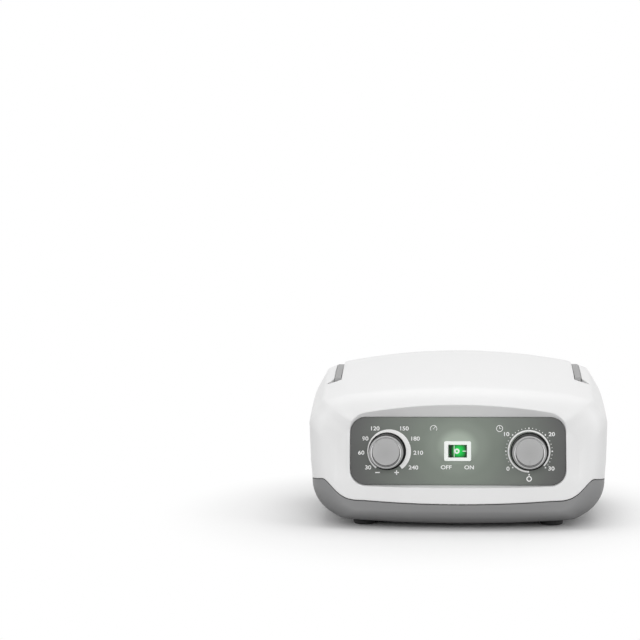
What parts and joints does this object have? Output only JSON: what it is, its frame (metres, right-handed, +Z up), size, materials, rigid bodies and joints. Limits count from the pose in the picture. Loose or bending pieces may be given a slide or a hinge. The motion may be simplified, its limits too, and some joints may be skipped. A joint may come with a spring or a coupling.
{
  "type": "compression therapy pump",
  "caption": "Table-top air pump for compression cuffs: white and grey moulded housing, bowed front with pressure dial, lit rocker switch and timer dial, folding carry handle, rear air outlets.",
  "frame": {"origin": "on the table, under the middle of the pump", "axes": "+X to the right seen from the front, -Y out of the control panel, +Z up"},
  "size_m": [0.236, 0.202, 0.132],
  "materials": {
    "white_abs": "smooth white moulding with a light satin sheen",
    "grey_abs": "fine-grained mid grey moulding",
    "handle_grey": "satin light grey moulding",
    "panel_grey": "dark grey printed panel film",
    "knob_grey": "satin light grey moulding",
    "knob_cap": "flat light grey disc with turned rings",
    "switch_white": "smooth white moulding",
    "rocker_green": "clear green moulding lit from behind",
    "socket_grey": "light grey moulding",
    "black_plastic": "black moulding",
    "black_rubber": "black rubber",
    "cream_plastic": "natural coloured moulding",
    "hose_clear": "translucent silicone hose",
    "board_green": "green board lacquer",
    "coil_copper": "lacquered copper winding",
    "iron": "laminated iron",
    "aluminium": "pressed aluminium",
    "steel": "plated steel",
    "brass": "turned brass",
    "fuse_glass": "clear glass tube"
  },
  "bodies": {
    "housing": {"top_shell": "white_abs", "base_shell": "grey_abs", "handle_pivots": "steel", "front_panel": "panel_grey", "pressure_nut": "steel", "pressure_valve": "brass", "timer_nut": "steel", "timer_body": "cream_plastic", "switch_bezel": "switch_white", "switch_terminals": "steel", "rear_panel": "grey_abs", "panel_screws": "steel", "mains_inlet": "black_plastic", "inlet_pins": "brass", "fuse_holder": "black_plastic", "glass_fuse": "fuse_glass", "air_sockets": "socket_grey", "socket_seals": "black_rubber", "rubber_feet": "black_rubber", "housing_screws": "steel", "pump_frame": "aluminium", "pump_core": "iron", "pump_coils": "coil_copper", "diaphragms": "black_rubber", "pump_heads": "cream_plastic", "pump_mounts": "black_rubber", "distributor_body": "cream_plastic", "distributor_motor": "steel", "air_hoses": "hose_clear", "circuit_board": "board_green", "board_parts": "black_plastic", "board_posts": "cream_plastic"},
    "handle": {"carry_handle": "handle_grey"},
    "pressure_dial": {"pressure_knob": "knob_grey", "pressure_knob_cap": "knob_cap", "pressure_shaft": "steel"},
    "timer_dial": {"timer_knob": "knob_grey", "timer_knob_cap": "knob_cap", "timer_shaft": "steel"},
    "rocker": {"switch_rocker": "rocker_green"},
    "armature": {"pump_armature": "steel", "armature_magnets": "iron"},
    "rotor": {"distributor_rotor": "cream_plastic"},
    "fuse_cap": {"fuse_cap": "black_plastic"}
  },
  "joints": [
    {"name": "handle_hinge", "type": "hinge", "parent": "housing", "child": "handle", "pos_m": [0, -0.0255, 0.1046], "axis": [1, 0, 0], "range_deg": [0, 95]},
    {"name": "pressure_dial", "type": "hinge", "parent": "housing", "child": "pressure_dial", "pos_m": [-0.0553, -0.086, 0.0611], "axis": [0, -0.9962, 0.0872], "range_deg": [-180, 90]},
    {"name": "timer_dial", "type": "hinge", "parent": "housing", "child": "timer_dial", "pos_m": [0.0553, -0.086, 0.0611], "axis": [0, -0.9962, 0.0872], "range_deg": [-315, 0]},
    {"name": "power_rocker", "type": "hinge", "parent": "housing", "child": "rocker", "pos_m": [0, -0.08301, 0.06084], "axis": [0, 0.0872, 0.9962], "range_deg": [-14, 0]},
    {"name": "armature_slide", "type": "slide", "parent": "housing", "child": "armature", "axis": [1, 0, 0], "range_m": [-0.0015, 0.0015], "stiffness_N_per_m": 500},
    {"name": "rotor_spin", "type": "hinge", "parent": "housing", "child": "rotor", "pos_m": [0.041, 0.022, 0.046], "axis": [0, 0, 1], "continuous": true},
    {"name": "fuse_cap_turn", "type": "hinge", "parent": "housing", "child": "fuse_cap", "pos_m": [-0.07, 0.08405, 0.062], "axis": [0, 1, 0], "range_deg": [0, 90]}
  ]
}
